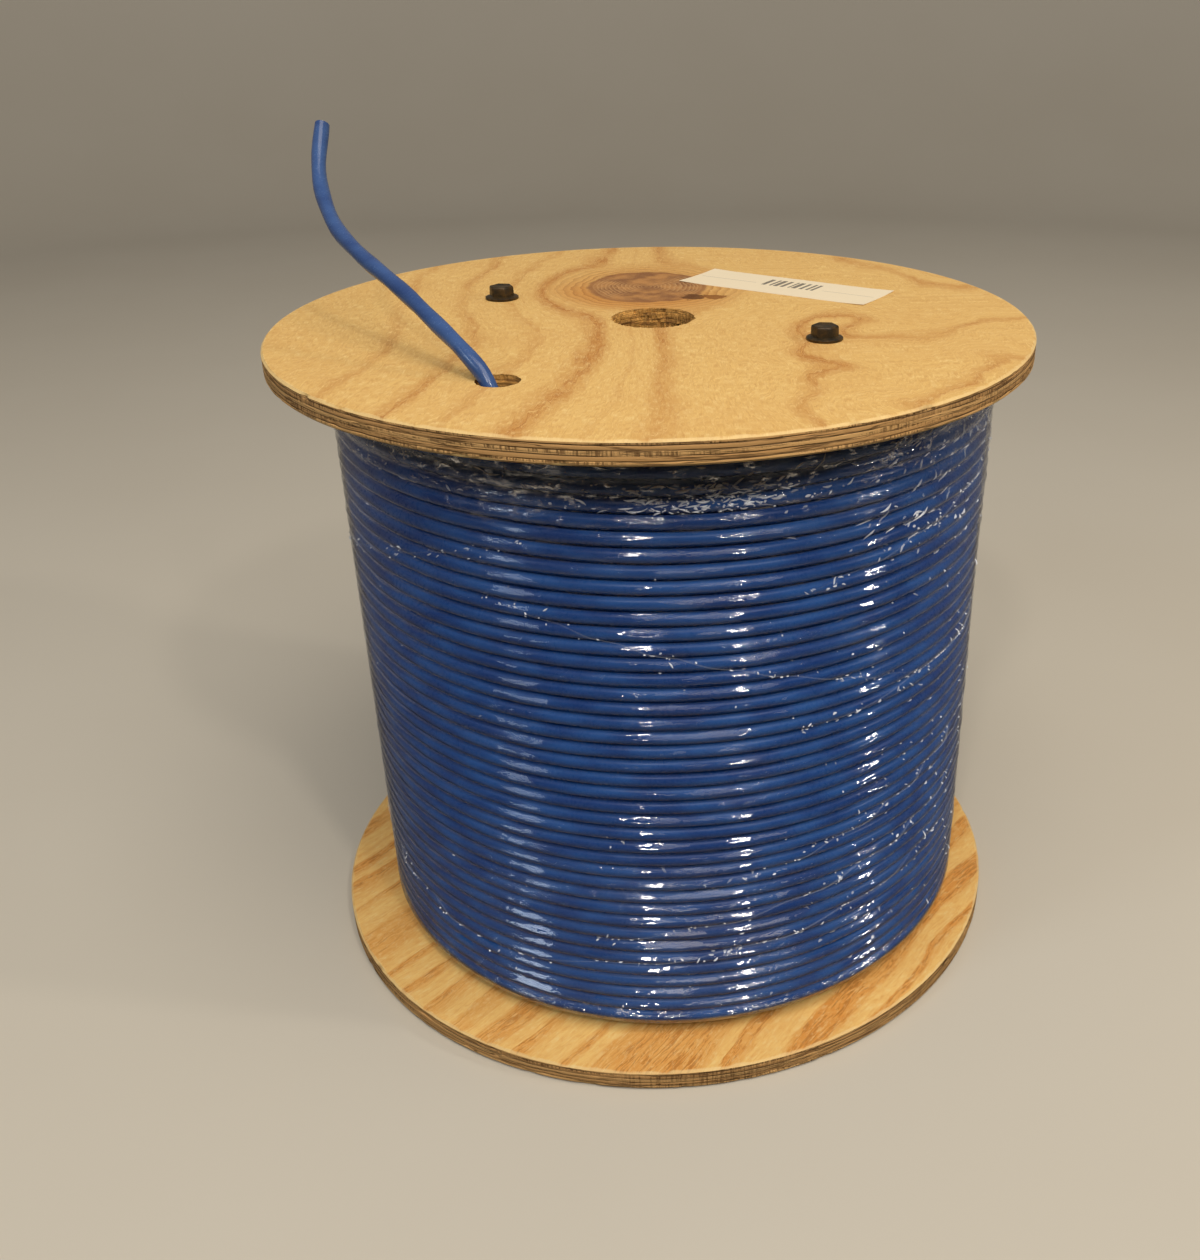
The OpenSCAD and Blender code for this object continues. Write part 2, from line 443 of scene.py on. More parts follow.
# %% Cut wires in the end
bm = bmesh.new()
hue = bm.faces.layers.float_color.new("wire_tint")
wire_r, wire_length, pair_reach, half_pair, core_out = [s * MM for s in (0.43, 0.9, 1.15, 0.44, 0.25)]
pair_tones = [tone(225, 120, 40), tone(50, 130, 60), tone(120, 75, 45), tone(60, 95, 170)]
for pair in range(4):
    lean = pair * math.pi / 2 + 0.4
    middle = Vector((math.cos(lean), math.sin(lean), 0)) * pair_reach
    across = Vector((math.cos(lean + 1.1), math.sin(lean + 1.1), 0)) * half_pair
    for sign, tint in ((1, pair_tones[pair]), (-1, tone(225, 222, 214))):
        old = set(bm.faces)
        spot = Matrix.Translation(middle + across * sign + Vector((0, 0, -0.55 * MM)))
        bmesh.ops.create_cone(bm, cap_ends=True, segments=12, radius1=wire_r, radius2=wire_r,
                              depth=wire_length, matrix=spot)
        fresh = [f for f in bm.faces if f not in old]
        end = max(fresh, key=lambda f: f.calc_center_median().z)
        for f in fresh:
            f[hue] = tint
        bmesh.ops.inset_individual(bm, faces=[end], thickness=0.18 * MM, depth=0.0)
        bmesh.ops.translate(bm, verts=end.verts, vec=(0, 0, core_out))
        end[hue] = tone(196, 120, 70)
bmesh.ops.transform(bm, matrix=Matrix.Translation(tip_point) @ tip_facing.to_4x4(), verts=bm.verts)
wires = make_piece("cut_wires", bm, 30)

wire_finish, place = new_finish("wire_insulation")
painted = add("Attribute", {}, attribute_name="wire_tint")
dust = grain(place, (3, 3, 3), 3.0)
paint(colour=blend(ease(dust, 0.45, 0.9, 0, 0.4), painted, tone(90, 80, 70)), rough=0.38)
dress(wires, [wire_finish])

# %% [markdown]
# ## The face of the top flange
# Plywood faces are peeled from a log, so the year rings show as wide wandering bands, not lines.
# Here one number, `growth`, says how far across the bands a spot lies: x, leaned over at the left,
# and pushed aside by the knot as a stream is by a stone. A ladder of tones then paints each band
# where it lies, and noise tears its edges. The knot has rings of its own, from its own distance.

# %% Growth round the knot
KNOT_X, KNOT_Y = -2.5, 58.0


def growth_round_knot(place):
    x, y = [axis_of(place, axis) for axis in (0, 1)]
    lean = ease(x, -25.0, 10.0, 0.27, 0.0)
    run = calc("MINIMUM", plus(y, 150.0), 110.0)
    dx, dy = less(x, KNOT_X), less(y, KNOT_Y)
    square = plus(times(dx, dx), times(dy, dy))
    shove = calc("DIVIDE", 1600.0, larger(square, 1150.0))
    growth = less(x, times(dx, shove))
    growth = less(growth, times(lean, run))
    fan = times(ease(x, 40.0, 165.0, 0.0, 0.72), plus(y, 150.0))
    growth = less(growth, fan)
    waves = less(grain(place, (0.021, 0.021, 0.0), 1.0), 0.5)
    reach = ease(x, 10.0, 80.0, 14.0, 60.0)
    growth = times_plus(waves, reach, growth)
    ragged = less(grain(place, (0.40, 0.05, 0.0), 3.0, 0.6), 0.5)
    growth = times_plus(ragged, 8.0, growth)
    ex = calc("DIVIDE", times_plus(dy, 0.117, dx), 27.0)
    ey = calc("DIVIDE", times_plus(dx, -0.117, dy), 31.0)
    ring = calc("SQRT", plus(times(ex, ex), times(ey, ey)))
    wobble = less(grain(place, (0.05, 0.05, 0.0), 5.0, 0.55), 0.5)
    sides = less(size_of(ex), size_of(ey))
    front = times_plus(ex, -0.5, times(ey, -0.85))
    return growth, times_plus(wobble, 0.36, ring), sides, front


TOP_BANDS = [(-158, 0.10), (-126, 0.05), (-120, 0.55), (-117, 0.08), (-98, 0.05), (-91, 0.75), (-88, 0.08),
             (-74, 0.05), (-67, 0.55), (-65, 0.05), (-54, 0.08), (-45, 1.0), (-42, 0.55), (-38, 0.05),
             (-26, 0.05), (-22, 0.35), (-20, 0.04), (-8, 0.08), (-1, 0.75), (4, 0.55), (9, 0.05), (44, 0.06),
             (52, 0.85), (57, 0.08), (76, 0.05), (84, 0.8), (87, 0.06), (104, 0.05), (111, 0.7), (114, 0.06),
             (128, 0.05), (135, 0.6)]


def banded(growth, bands):
    stops = [((g + 160) / 320, grey) for g, grey in bands]
    return stepped(calc("DIVIDE", plus(growth, 160.0), 320.0), stops)


print(len(TOP_BANDS), "tones in the ladder of the top face")


# %% Paint the veneer of a face
def veneer_tint(place, growth, band, pale, tan):
    fade = grain(place, (0.02, 0.02, 0.02), 2.0)
    band = times(band, ease(fade, 0.25, 0.7, 0.6, 1.2))
    run = axis_of(place, 1)
    along = add("CombineXYZ", {0: growth, 1: run, 2: 0.0})
    fibre = grain(along, (1.6, 0.05, 1.0), 4.0, 0.7)
    streak = ease(grain(along, (1.5, 0.07, 1.0), 3.0, 0.7), 0.36, 0.62, 0.65, 1.15)
    colour = blend(times(band, streak), pale, tan)
    colour = blend(ease(fibre, 0.35, 0.75, 0.0, 0.38), colour, tan)
    strand = grain(along, (1.0, 0.20, 1.0), 4.0, 0.7)
    colour = blend(ease(strand, 0.50, 0.66, 0.0, 0.36), colour, tan)
    colour = blend(ease(strand, 0.34, 0.48, 0.42, 0.0), colour, tone(255, 226, 160))
    accent = times(ease(band, 0.5, 0.9), ease(streak, 0.95, 1.12, 0.0, 0.6))
    colour = blend(accent, colour, tone(176, 112, 48))
    speck = grain(place, (0.8, 0.35, 1.0), 4.0, 0.8)
    colour = blend(ease(speck, 0.30, 0.48, 0.30, 0.0), colour, tone(250, 222, 160))
    blotch = grain(place, (0.012, 0.03, 0.02), 4.0, 0.6)
    colour = blend(ease(blotch, 0.4, 0.75, 0.0, 0.22), colour, tone(214, 160, 92))
    fleck = grain(along, (0.7, 0.16, 1.0), 3.0, 0.75)
    colour = blend(ease(fleck, 0.70, 0.80, 0.0, 0.5), colour, tone(140, 92, 48))
    return colour, fibre


# A paler band along each face's outer edge: partly sanded wood, partly a painted highlight on the rim's
# upper corner.
def sanded_rim_and_highlight(place, colour):
    reach = reach_of(stretch(place, (1, 1, 0)))
    worn = times_plus(grain(place, (0.15, 0.15, 0.0), 3.0), 3.0, reach)
    rim = flange_r / MM
    return blend(ease(worn, rim + 0.3, rim + 1.1, 0.0, 0.6), colour, tone(250, 218, 154))


def sanded(place, colour, fibre):
    paint(colour=colour)
    pores = grain(place, (1.5, 0.4, 1.5), 4.0, 0.7)
    height = plus(times(fibre, 0.6), times(pores, 0.4))
    paint(rough=ease(pores, 0.3, 0.8, 0.55, 0.72), gloss=0.3)
    raise_bump(height, 0.00025, 0.5)


top_veneer, place = new_finish("top_veneer")
growth, ring, sides, front = growth_round_knot(place)
band = times(banded(growth, TOP_BANDS), ease(ring, 1.3, 1.8))
colour, fibre = veneer_tint(place, growth, band, tone(239, 197, 121), tone(196, 133, 64))
near = ease(ring, 1.0, 1.95, 1.0, 0.0)
lit = times(near, ease(front, -0.4, 0.9, 0.45, 1.0))
colour = blend(times(lit, 0.8), colour, tone(210, 142, 66))
lines = calc("FRACT", times(ring, 8.0))
lines = times(calc("POWER", lines, 2.0), near)
colour = blend(times(lines, 0.75), colour, tone(168, 104, 44))
cloud = grain(place, (0.10, 0.10, 0.0), 3.0)
heart = blend(ease(cloud, 0.35, 0.65), tone(138, 90, 52), tone(190, 134, 76))
arcs = calc("FRACT", times(ring, 14.0))
arcs = times(calc("POWER", arcs, 2.0), ease(sides, -0.2, 0.25, 0.25, 0.9))
heart = blend(arcs, heart, tone(204, 158, 104))
heart = blend(ease(ring, 0.84, 1.0, 0.0, 0.7), heart, tone(150, 98, 54))
colour = blend(ease(ring, 0.96, 1.06), heart, colour)
print("top veneer has", len(bench["tree"].nodes), "nodes so far")

# %% [markdown]
# Beside the knot lies a pitch pocket, a small split where resin has gathered and turned brown.
# It is two short blots with torn outlines: the distance to each spot, upset by noise, is a mask.

# %% Add the pitch pocket
tear = less(grain(place, (0.28, 0.28, 0.0), 3.0, 0.6), 0.5)
pockets = (((18, 36), 6.4, 5.6, tone(98, 56, 18)), ((26.5, 35.5), 6.4, 4.6, tone(146, 92, 36)))
for spot, length, width, stain in pockets:
    shifted = add("VectorMath", {0: place, 1: (-spot[0], -spot[1], 0)}, operation="ADD")
    far = times_plus(tear, 1.5, reach_of(stretch(shifted, (1 / length, 1 / width, 0))))
    colour = blend(ease(far, 0.74, 0.95, 0.92, 0.0), colour, stain)
sanded(place, sanded_rim_and_highlight(place, colour), fibre)
print("top veneer has", len(bench["tree"].nodes), "nodes")

# %% [markdown]
# ## The face of the bottom flange
# The lower flange was cut from another sheet: its bands run straight, side by side, at a slant.
# The same ladder of tones works, with growth measured across the slant instead of round a knot.

# %% Growth in straight stripes
def growth_in_stripes(place, slant):
    turned = add("Mapping", {"Vector": place, "Rotation": (0, 0, -math.radians(slant))})
    across = axis_of(turned, 1)
    sway = less(grain(turned, (0.008, 0.02, 0.0), 2.0), 0.5)
    growth = times_plus(sway, 24.0, across)
    ragged = less(grain(turned, (0.05, 0.4, 0.0), 3.0, 0.6), 0.5)
    return times_plus(ragged, 5.0, growth)


lightened_bottom_veneer, place = new_finish("lightened_bottom_veneer")
growth = growth_in_stripes(place, 50)
across = add("CombineXYZ", {0: growth, 1: 0.0, 2: 0.0})
drift = times(grain(across, (0.035, 0, 0)), 3.0)
uneven = times_plus(growth, 1 / 17, drift)
STRIPE = [(0.0, 0.08), (0.40, 0.2), (0.68, 0.8), (0.92, 0.95), (1.0, 0.08)]
stripe = stepped(calc("FRACT", uneven), STRIPE)
wide = times(ease(growth, -64.0, -76.0, 0.0, 0.9), ease(growth, -112.0, -100.0))
stripe = larger(stripe, wide)
# These tones are paler than the top face's: partly the other sheet's own colour, partly painted light that
# offsets the shade under the upper flange.
colour, fibre = veneer_tint(place, growth, stripe, tone(255, 212, 130), tone(228, 152, 68))
sanded(place, sanded_rim_and_highlight(place, colour), fibre)
print("bottom veneer has", len(bench["tree"].nodes), "nodes")


# %% [markdown]
# ## The edge of the plywood
# The rim shows five plies, and each lies crosswise to the next. A ply cut along its grain shows long
# wavy lines, and one cut across it shows short ticks, so the look of a layer changes round the rim.
# The share of end grain comes from the place round the rim, and dark glue parts the layers.

# %% Paint the edge plies
PLIES = 5


def ply_edge(name, low, turn):
    finish, place = new_finish(name)
    wave = less(grain(place, (0.03, 0.03, 0.0), 3.0), 0.5)
    height = axis_of(place, 2)
    layer = times(less(height, low / MM), PLIES * MM / flange_t)
    layer = times_plus(wave, 0.7, layer)
    within = calc("FRACT", layer)
    odd = calc("MODULO", calc("FLOOR", layer), 2.0)
    around = add("Mapping", {"Vector": place, "Rotation": (0, 0, -math.radians(turn)), "Scale": (1, 1, 0)})
    around = add("VectorMath", {0: around}, operation="NORMALIZE")
    ux, uy = [size_of(axis_of(around, axis)) for axis in (0, 1)]
    crosscut = add("Mix", {0: odd, 2: uy, 3: ux}, data_type="FLOAT")
    crosscut = ease(crosscut, 0.35, 0.8)
    ticks = grain(place, (1.2, 1.2, 0.10), 2.0, 0.5)
    patch = ease(grain(place, (0.022, 0.022, 0.45), 2.0), 0.40, 0.60)
    ticks = times(ease(ticks, 0.42, 0.66), times(crosscut, patch))
    contour = less(grain(place, (0.014, 0.014, 0.42), 3.0, 0.55), 0.5)
    lines = ease(size_of(contour), 0.002, 0.018, 0.8, 0.0)
    fine = ease(grain(place, (0.03, 0.03, 1.5), 3.0, 0.6), 0.56, 0.72)
    lines = larger(lines, times(fine, 0.6))
    glue = ease(size_of(less(within, 0.5)), 0.37, 0.44)
    broken = ease(grain(place, (0.05, 0.05, 0.5), 3.0), 0.36, 0.58)
    glue = times(glue, broken)
    cloud = grain(place, (0.03, 0.03, 0.3), 3.0)
    wood = blend(cloud, tone(244, 198, 132), tone(220, 166, 102))
    wood = blend(times(odd, 0.4), wood, tone(190, 138, 84))
    wood = blend(times(lines, 0.85), wood, tone(84, 50, 26))
    wood = blend(times(ticks, 0.7), wood, tone(96, 60, 32))
    wood = blend(times(glue, 0.85), wood, tone(48, 28, 14))
    bored = ease(reach_of(stretch(place, (1, 1, 0))), flange_r / MM - 12, flange_r / MM - 8, 0.75, 0.0)
    pulled = ease(grain(place, (0.12, 0.12, 0.9), 3.0, 0.6), 0.34, 0.60)
    hole = blend(pulled, tone(132, 86, 34), tone(238, 176, 88))
    wood = blend(bored, wood, hole)
    paint(colour=wood, rough=ease(cloud, 0.3, 0.7, 0.7, 0.85), gloss=0.2)
    cut = larger(larger(ticks, lines), glue)
    raise_bump(less(1.0, cut), 0.0005, 0.9)
    return finish


top_edge = ply_edge("top_edge", under_top.z, 0)
bottom_edge = ply_edge("bottom_edge", 0.0, 50)
print("edges painted:", top_edge.name, bottom_edge.name)


# %% [markdown]
# ## The plywood discs
# A disc is sawn with a router on a pivot, and so it is turned here: a section of a few points is spun
# round the axis. A cylinder with a Boolean hole would be quicker, but spinning lets the rim have many
# rows, which are then pushed in and out a little, so the torn plies are real shape and not paint.

# %% Spin a flange
def flange_section(low, groove_up):
    high = low + flange_t
    bevel = 0.8 * MM
    section = []
    for k in range(7):
        section.append((arbor_r, low + (high - low) * k / 6))
    for k in range(1, 9):
        section.append((arbor_r + (flange_r - bevel - arbor_r) * k / 8, high))
    for k in range(23):
        section.append((flange_r, high - bevel - (flange_t - 2 * bevel) * k / 22))
    section.append((flange_r - bevel, low))
    outer, inner, groove_top = tube_r + 0.2 * MM, tube_r - 6.2 * MM, low + 3 * MM
    section += [(outer, low), (outer, groove_top), (inner, groove_top), (inner, low)]
    if not groove_up:
        return section
    return [(r, low + high - z) for r, z in section]


def copy_round(bm, wedge, parts):
    for number in range(1, parts):
        copied = bmesh.ops.duplicate(bm, geom=wedge)["geom"]
        turn = Matrix.Rotation(math.tau * number / parts, 3, "Z")
        bmesh.ops.rotate(bm, verts=verts_in(copied), cent=(0, 0, 0), matrix=turn)
    bmesh.ops.remove_doubles(bm, verts=bm.verts, dist=0.00001)
    bmesh.ops.recalc_face_normals(bm, faces=bm.faces)


def spin_section(section, steps, closed=True, parts=8):
    bm = bmesh.new()
    points = [bm.verts.new((r, 0, z)) for r, z in section]
    ends = points[1:] + points[:1] if closed else points[1:]
    chain = [bm.edges.new((a, b)) for a, b in zip(points, ends)]
    bmesh.ops.spin(bm, geom=points + chain, axis=(0, 0, 1), cent=(0, 0, 0), angle=math.tau / parts,
                   steps=steps // parts)
    copy_round(bm, list(bm.verts) + list(bm.edges) + list(bm.faces), parts)
    return bm


def tear_plies(bm, low, seed):
    for v in bm.verts:
        reach = math.hypot(v.co.x, v.co.y)
        layer = (v.co.z - low) / flange_t * PLIES
        away = Vector((v.co.x / reach, v.co.y / reach, 0))
        spot = Vector((v.co.x * 60, v.co.y * 60, math.floor(layer) * 7 + seed))
        push = 0.0
        if reach > flange_r - 0.1 * MM:
            push = 0.10 * noise.noise(spot * 4)
            push -= 0.16 * max(0.0, 1 - abs(layer - round(layer)) / 0.14)
            push -= 2.2 * max(0.0, noise.noise(spot * 2.2) - 0.42)
        elif reach < arbor_r + 0.1 * MM:
            push = 1.7 * abs(noise.noise(spot * 6)) + 1.0 * abs(noise.noise(spot * 19))
            push += 0.4 * max(0.0, 1 - abs(layer - round(layer)) / 0.3)
        v.co += away * push * MM


top_bm = spin_section(flange_section(under_top.z, False), 720)
tear_plies(top_bm, under_top.z, 3.0)
bottom_bm = spin_section(flange_section(0.0, True), 720)
tear_plies(bottom_bm, 0.0, 41.0)
print("flanges of", len(top_bm.faces), "faces each")


# %% Tell faces from edges
def mark_edges(bm):
    for f in bm.faces:
        f.material_index = 1 if abs(f.normal.z) < 0.55 else 0


mark_edges(top_bm)
mark_edges(bottom_bm)
top_disc = make_piece("top_disc", top_bm, 35)
bottom_disc = make_piece("bottom_disc", bottom_bm, 35)
dress(top_disc, [top_veneer, top_edge], ["top_flange"])
dress(bottom_disc, [lightened_bottom_veneer, bottom_edge], ["bottom_flange"])

# %% [markdown]
# The start hole was drilled with a blunt bit, so its wall is torn. The bolt holes are clean.
# Holes off the axis can't be spun, so each is a short rod whose wall is roughened and then taken away
# from the disc with a Boolean, which also hands the rod's edge paint to the wall of the hole.

# %% Drill the holes
def drill_rod(spot, radius, low, high, rough, finishes):
    bm = bmesh.new()
    bmesh.ops.create_circle(bm, cap_ends=True, radius=radius, segments=56)
    rise = (high - low) / 10
    top = list(bm.faces)
    for number in range(10):
        grown = bmesh.ops.extrude_face_region(bm, geom=top)["geom"]
        if number:
            bmesh.ops.delete(bm, geom=top, context="FACES_ONLY")
        top = faces_in(grown)
        bmesh.ops.translate(bm, verts=verts_in(grown), vec=(0, 0, rise))
    for v in bm.verts:
        torn = noise.noise(Vector((v.co.x * 500, v.co.y * 500, v.co.z * 420)))
        torn += 0.5 * noise.noise(Vector((v.co.x * 1500, v.co.y * 1500, v.co.z * 1500)))
        v.co += Vector((v.co.x, v.co.y, 0)).normalized() * torn * rough
    bmesh.ops.translate(bm, verts=bm.verts, vec=(spot[0], spot[1], low))
    bmesh.ops.recalc_face_normals(bm, faces=bm.faces)
    for f in bm.faces:
        f.material_index = 1
    rod = make_piece("rod", bm)
    for finish in finishes:
        rod.data.materials.append(finish)
    return rod


def drill(disc, rods):
    for rod in rods:
        cut = disc.modifiers.new("hole", "BOOLEAN")
        cut.object = rod
        cut.operation = "DIFFERENCE"
        cut.solver = "EXACT"
    drilled = bpy.data.meshes.new_from_object(disc.evaluated_get(bpy.context.evaluated_depsgraph_get()))
    disc.modifiers.clear()
    drilled.name = disc.name
    disc.data = drilled
    for rod in rods:
        bpy.data.objects.remove(rod)
    drilled.set_sharp_from_angle(angle=math.radians(35))
    print(disc.name, "drilled, now", len(drilled.polygons), "faces")


bolt_boxes = [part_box("tie_bolt_1"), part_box("tie_bolt_2")]
bolt_spots = [((a.x + b.x) / 2, (a.y + b.y) / 2) for a, b in bolt_boxes]
bolt_hole_r, nut_hole_r, nut_recess_r = 3.575 * MM, 4.4 * MM, 9.7 * MM
nut_recess, spare, torn_depth = 2 * MM, 2 * MM, 0.6 * MM
below, above = under_top.z - spare, top_z + spare
top_look, bottom_look = [top_veneer, top_edge], [lightened_bottom_veneer, bottom_edge]
top_rods = [drill_rod(start_hole.xy, start_hole_r, below, above, torn_depth, top_look)]
for spot in bolt_spots:
    top_rods.append(drill_rod(spot, bolt_hole_r, below, above, 0.0, top_look))
drill(top_disc, top_rods)
bottom_rods = []
for spot in bolt_spots:
    bottom_rods.append(drill_rod(spot, nut_hole_r, -spare, bottom_t + spare, 0.0, bottom_look))
    bottom_rods.append(drill_rod(spot, nut_recess_r, -spare, nut_recess, 0.0, bottom_look))
drill(bottom_disc, bottom_rods)

# %% [markdown]
# ## Tube and nuts
# The tube is spiral-wound fibre board and the tee nuts are zinc plated. Both are nearly hidden, and
# their solids already have the right shape, so they keep it and only get a finish.
# A slanted wave makes the tube's spiral seam, and fine noise its paper.

# %% Finish the tube and the nuts
tube_board, place = new_finish("tube_board")
spiral = add("TexWave", {"Vector": place, "Scale": 0.012, "Distortion": 1.2, "Detail": 2.0},
             bands_direction="DIAGONAL")
paper = grain(place, (0.6, 0.6, 0.25), 4.0, 0.7)
board = blend(paper, tone(150, 112, 74), tone(178, 138, 96))
board = blend(ease(spiral, 0.9, 1.0, 0, 0.6), board, tone(104, 74, 46))
paint(colour=board, rough=ease(paper, 0.3, 0.7, 0.75, 0.9))
raise_bump(paper, 0.0002, 0.6)

zinc, place = new_finish("zinc_plate")
bloom = grain(place, (0.5, 0.5, 0.5), 4.0, 0.6)
paint(colour=blend(bloom, tone(176, 178, 176), tone(214, 212, 204)))
paint(rough=ease(bloom, 0.3, 0.7, 0.28, 0.45), metal=1.0)


def refinish(node, finish):
    solid = frame["nodes"][node]
    solid.data.materials.clear()
    solid.data.materials.append(finish)


refinish("barrel", tube_board)
refinish("tee_nut_1", zinc)
refinish("tee_nut_2", zinc)
print("tube and nuts finished")

# %% [markdown]
# ## The wound cable
# The outer layer is one cable that climbs by its own width each turn. Stacked rings would look the
# same from afar, but the real turns step up over each other and leave dark gaps where they part.
# Spinning a small circle with a lift at each step makes one turn of the true screw, which is copied up
# the drum. Most of the lift is then moved to the back, where one turn crosses over to the next.

# %% Wind the outer layer
turn_count = 42
pitch = (winding_high.z - winding_low.z) / turn_count
line_r = winding_r - cable_d / 2 - 0.1 * MM
first_z = winding_low.z + pitch * 1.5
rounds = turn_count - 2
per_round = 144
bm = bmesh.new()
stand_up = Matrix.Translation((0, line_r, first_z)) @ Matrix.Rotation(math.pi / 2, 4, "Y")
bmesh.ops.create_circle(bm, cap_ends=False, radius=cable_d / 2 - 0.12 * MM, segments=10, matrix=stand_up)
bmesh.ops.spin(bm, geom=list(bm.verts) + list(bm.edges), axis=(0, 0, 1), cent=(0, 0, 0),
               dvec=(0, 0, pitch / per_round), angle=math.tau, steps=per_round)
one_turn = list(bm.verts) + list(bm.edges) + list(bm.faces)
for number in range(1, rounds):
    copied = bmesh.ops.duplicate(bm, geom=one_turn)["geom"]
    bmesh.ops.translate(bm, verts=verts_in(copied), vec=(0, 0, pitch * number))
bmesh.ops.remove_doubles(bm, verts=bm.verts, dist=0.00001)
for loop_end in (min, max):
    rim = [e for e in bm.edges if e.is_boundary]
    end_z = loop_end(e.verts[0].co.z for e in rim)
    bmesh.ops.edgeloop_fill(bm, edges=[e for e in rim if abs(e.verts[0].co.z - end_z) < cable_d * 1.5])
bmesh.ops.recalc_face_normals(bm, faces=bm.faces)
print("screw of", len(bm.faces), "faces, pitch", round(pitch / MM, 2), "mm")


# %% Let the turns step at the back and wander
def turn_share(x, y):
    return (math.atan2(-x, y) / math.tau) % 1.0


CROSSING = 0.86


def step_up(share):
    late = min(1.0, max(0.0, (share - CROSSING) / (1 - CROSSING)))
    return late * late * (3 - 2 * late)


def wander(x, y, z):
    spot = Vector((x * 11, y * 11, z * 34))
    return 0.46 * MM * noise.noise(spot) + 0.10 * MM * noise.noise(spot * 3.1)


seam_share = {v: turn_share(v.co.x, v.co.y) for v in bm.verts}
for v, share in seam_share.items():
    reach = math.hypot(v.co.x, v.co.y)
    if share > 0.9999:
        share = 0.0
    v.co.z += pitch * (step_up(share) - share) + wander(v.co.x, v.co.y, v.co.z)
    sink = 0.22 * (1 + noise.noise(Vector((v.co.x * 9, v.co.y * 9, v.co.z * 45)))) * MM
    v.co.x -= v.co.x / reach * sink
    v.co.y -= v.co.y / reach * sink
print("outer layer from", round(min(v.co.z for v in bm.verts) / MM, 1), "to",
      round(max(v.co.z for v in bm.verts) / MM, 1), "mm")

# %% [markdown]
# Under the outer layer lie the earlier ones. Only their backs can be glimpsed in the gaps and in the
# last groove above the lower flange, so they are one turned body: a row of half rounds, spun once.
# Cable that is fed by hand seldom lies centred, and here the outer turns sit a few millimetres to the
# right of the axis, so the whole winding is pushed over, the more the farther out it lies.

# %% Turn the layers below
layer_step = 5.11 * MM
deep_r = line_r - layer_step
section = []
for number in range(turn_count):
    middle = winding_low.z + pitch * (number + 0.5)
    for k in range(5):
        swing = math.radians(-68 + 34 * k)
        section.append((deep_r + cable_d / 2 * math.cos(swing), middle + cable_d / 2 * math.sin(swing)))
bore_r = tube_r + 0.3 * MM
section = [(bore_r, winding_low.z)] + section + [(bore_r, winding_high.z)]
core = spin_section(section, 120)
core_mesh = bpy.data.meshes.new("core")
core.to_mesh(core_mesh)
core.free()
bm.from_mesh(core_mesh)
bpy.data.meshes.remove(core_mesh)
off_axis = 4.0 * MM
for v in bm.verts:
    v.co.x += off_axis * (math.hypot(v.co.x, v.co.y) - bore_r) / (line_r - bore_r)
winding = make_piece("wound_cable", bm, 60)
dress(winding, [shaded_turn_jacket], ["cable_winding"])

# %% [markdown]
# ## The stretch film
# Clear film is pulled tight round the drum by hand. It clings to the crests of the turns, dips between
# them, creases on the slant, curls under the lowest turn and crumples below the upper flange.
# A line is spun into a sleeve of small faces, and each point is then moved by those habits.

# %% Spin the sleeve
film_low, film_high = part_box("stretch_film")
film_r = winding_r + 0.5 * MM
cling = cable_d / 2 + 0.6 * MM
line = []
for turned in (-88, -74, -60, -45, -30, -15):
    turned = math.radians(turned)
    line.append((line_r + cling * math.cos(turned), first_z + cling * math.sin(turned)))
phases = (0.0, 0.08, 0.15, 0.25, 0.44, 0.5, 0.56, 0.75, 0.85, 0.92)
heights = [first_z + pitch * (number + phase) for number in range(turn_count) for phase in phases]
line += [(film_r, z) for z in heights if z < film_high.z - 0.2 * MM] + [(film_r, film_high.z)]
bm = spin_section(line, 232, closed=False)
print("sleeve of", len(bm.faces), "faces, from", round(line[0][1] / MM, 1), "mm up")


# %% Pull and crease the film
def folds_at(x, y, z, size, rise):
    return noise.noise(Vector((x / size, y / size, z / rise)))


def sag(far, slope):
    round_to, flat_to, half = 0.14 * pitch, 0.45 * pitch, 0.5 * pitch
    if far < round_to:
        return slope * far * far / (2 * round_to)
    past = max(0.0, far - flat_to)
    return slope * (far - round_to / 2 - past * past / (2 * (half - flat_to)))


def film_lift(x, y, z):
    share = turn_share(x, y)
    crest = (z - first_z) / pitch - step_up(share)
    far = abs((crest + 0.5) % 1.0 - 0.5) * pitch
    lean = 33.6 + 66.5 * (0.24 - z) + 9 * folds_at(x, y, z, 0.022, 0.0045)
    lift = -sag(far, math.tan(math.radians(lean))) / MM
    slant = math.atan2(x, -y) * film_r
    crease = 1 - abs(noise.noise(Vector((slant * 9, (z - slant * 0.35) * 70, 2.0))))
    lift += 0.3 * max(0.0, crease - 0.9) / 0.1
    upper = min(1.0, max(0.0, (z - (film_high.z - 24 * MM)) / (14 * MM)))
    crumple = 0.9 * abs(folds_at(x, y, z, 0.011, 0.0035)) + 0.5 * abs(folds_at(x, y, z, 0.004, 0.0014))
    lift = lift * (1 - 0.6 * upper) + upper * crumple
    spot = math.atan2(y, x)
    loose = math.exp(-((spot - 0.12) / 0.34) ** 2) * math.exp(-((z - 0.225) / 0.036) ** 2)
    return lift * (1 - 0.5 * loose) + loose * (3.0 + 1.0 * folds_at(x, y, z, 0.016, 0.007))


for v in bm.verts:
    reach = math.hypot(v.co.x, v.co.y)
    lift = film_lift(v.co.x, v.co.y, v.co.z)
    v.co.z += wander(v.co.x, v.co.y, v.co.z)
    if v.co.z < first_z - pitch * 0.2:
        lift = 0.25 * abs(folds_at(v.co.x, v.co.y, v.co.z, 0.007, 0.002))
        v.co.z += 0.3 * MM * folds_at(v.co.x, v.co.y, 0.0, 0.02, 1.0)
    v.co.x += v.co.x / reach * lift * MM + off_axis
    v.co.y += v.co.y / reach * lift * MM
sleeve = make_piece("film_sleeve", bm, 180)

# %% [markdown]
# Where the film is bunched it stands up in small sharp folds, and where one wrap ends over another it
# puckers in slanting rows. Bump alone would wash them out, so each fold is a narrow grid with a raised
# middle and tapered ends, laid on the film by the same rule that shaped the sleeve.

